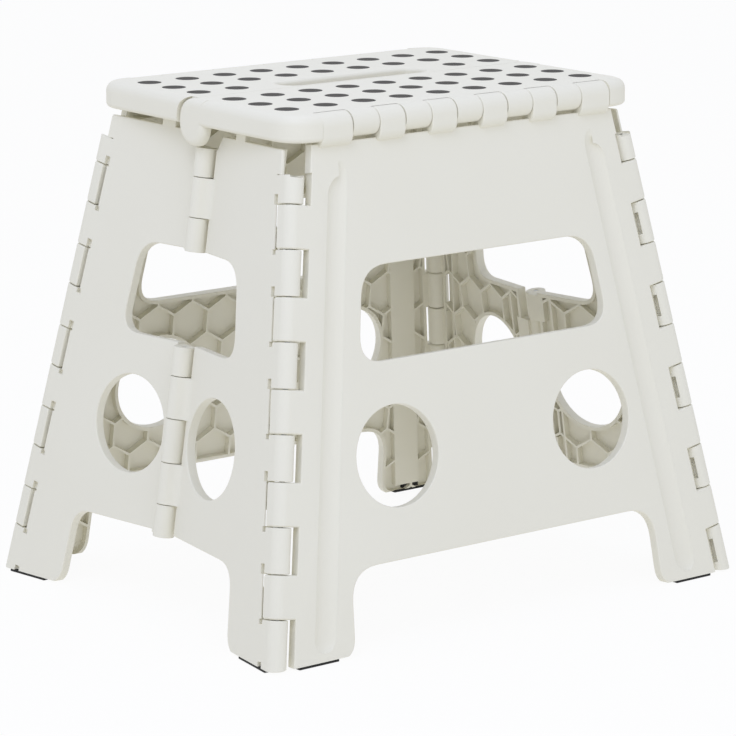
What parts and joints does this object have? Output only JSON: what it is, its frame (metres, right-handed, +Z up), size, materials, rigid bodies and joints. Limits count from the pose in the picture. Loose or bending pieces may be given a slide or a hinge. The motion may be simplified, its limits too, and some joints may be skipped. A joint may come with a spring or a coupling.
{
  "type": "folding step stool",
  "caption": "Plastic step stool with a split, dotted seat on hinged leg and end panels that fold flat when its middle is pulled up.",
  "frame": {"origin": "middle of the footprint, on the floor", "axes": "+X along the seat to the right, +Y to the rear (the half with the handle slot), +Z up"},
  "size_m": [0.45, 0.3624, 0.39],
  "materials": {
    "shell": "fine satin moulded plastic, warm white",
    "grip": "soft matt grip dots, dark grey",
    "foot_rubber": "matt black rubber",
    "rod_steel": "plain drawn wire"
  },
  "bodies": {
    "seat_front": {"seat_front": "shell", "grip_dots_front": "grip", "seat_hinge_rod_front": "rod_steel", "pivot_pin_left": "rod_steel", "pivot_pin_right": "rod_steel"},
    "seat_rear": {"seat_rear": "shell", "grip_dots_rear": "grip", "seat_hinge_rod_rear": "rod_steel"},
    "leg_front": {"leg_front": "shell", "foot_pad_leg_front_left": "foot_rubber", "foot_pad_leg_front_right": "foot_rubber", "corner_rod_left_front": "rod_steel", "corner_rod_right_front": "rod_steel"},
    "leg_rear": {"leg_rear": "shell", "foot_pad_leg_rear_left": "foot_rubber", "foot_pad_leg_rear_right": "foot_rubber", "corner_rod_left_rear": "rod_steel", "corner_rod_right_rear": "rod_steel"},
    "end_left_front": {"end_left_front": "shell", "foot_pad_end_left_front": "foot_rubber"},
    "end_left_rear": {"end_left_rear": "shell", "foot_pad_end_left_rear": "foot_rubber", "middle_rod_left_upper": "rod_steel", "middle_rod_left_lower": "rod_steel"},
    "end_right_front": {"end_right_front": "shell", "foot_pad_end_right_front": "foot_rubber", "middle_rod_right_upper": "rod_steel", "middle_rod_right_lower": "rod_steel"},
    "end_right_rear": {"end_right_rear": "shell", "foot_pad_end_right_rear": "foot_rubber"}
  },
  "joints": [
    {"name": "seat_fold", "type": "hinge", "parent": "seat_front", "child": "seat_rear", "pos_m": [0, 0, 0.364], "axis": [-1, 0, 0], "range_deg": [0, 179.77]},
    {"name": "leg_front_fold", "type": "hinge", "parent": "seat_front", "child": "leg_front", "pos_m": [0, -0.117, 0.38], "axis": [-1, 0, 0], "range_deg": [0, 80.62]},
    {"name": "leg_rear_fold", "type": "hinge", "parent": "seat_rear", "child": "leg_rear", "pos_m": [0, 0.117, 0.38], "axis": [1, 0, 0], "range_deg": [0, 80.62]},
    {"name": "end_left_front_fold", "type": "hinge", "parent": "leg_front", "child": "end_left_front", "pos_m": [-0.2174, -0.1735, 0], "axis": [-0.171, -0.1586, -0.9724], "range_deg": [0, 83.27]},
    {"name": "end_left_rear_fold", "type": "hinge", "parent": "leg_rear", "child": "end_left_rear", "pos_m": [-0.2174, 0.1735, 0], "axis": [0.171, -0.1586, 0.9724], "range_deg": [0, 83.27]},
    {"name": "end_right_front_fold", "type": "hinge", "parent": "leg_front", "child": "end_right_front", "pos_m": [0.2174, -0.1735, 0], "axis": [-0.171, 0.1586, 0.9724], "range_deg": [0, 83.27]},
    {"name": "end_right_rear_fold", "type": "hinge", "parent": "leg_rear", "child": "end_right_rear", "pos_m": [0.2174, 0.1735, 0], "axis": [0.171, 0.1586, -0.9724], "range_deg": [0, 83.27]}
  ],
  "couplings": [
    {"joint": "leg_front_fold", "follows": "seat_fold", "ratio": 0.44843},
    {"joint": "leg_rear_fold", "follows": "seat_fold", "ratio": 0.44843},
    {"joint": "end_left_front_fold", "follows": "seat_fold", "ratio": 0.46314},
    {"joint": "end_left_rear_fold", "follows": "seat_fold", "ratio": 0.46314},
    {"joint": "end_right_front_fold", "follows": "seat_fold", "ratio": 0.46314},
    {"joint": "end_right_rear_fold", "follows": "seat_fold", "ratio": 0.46314}
  ]
}
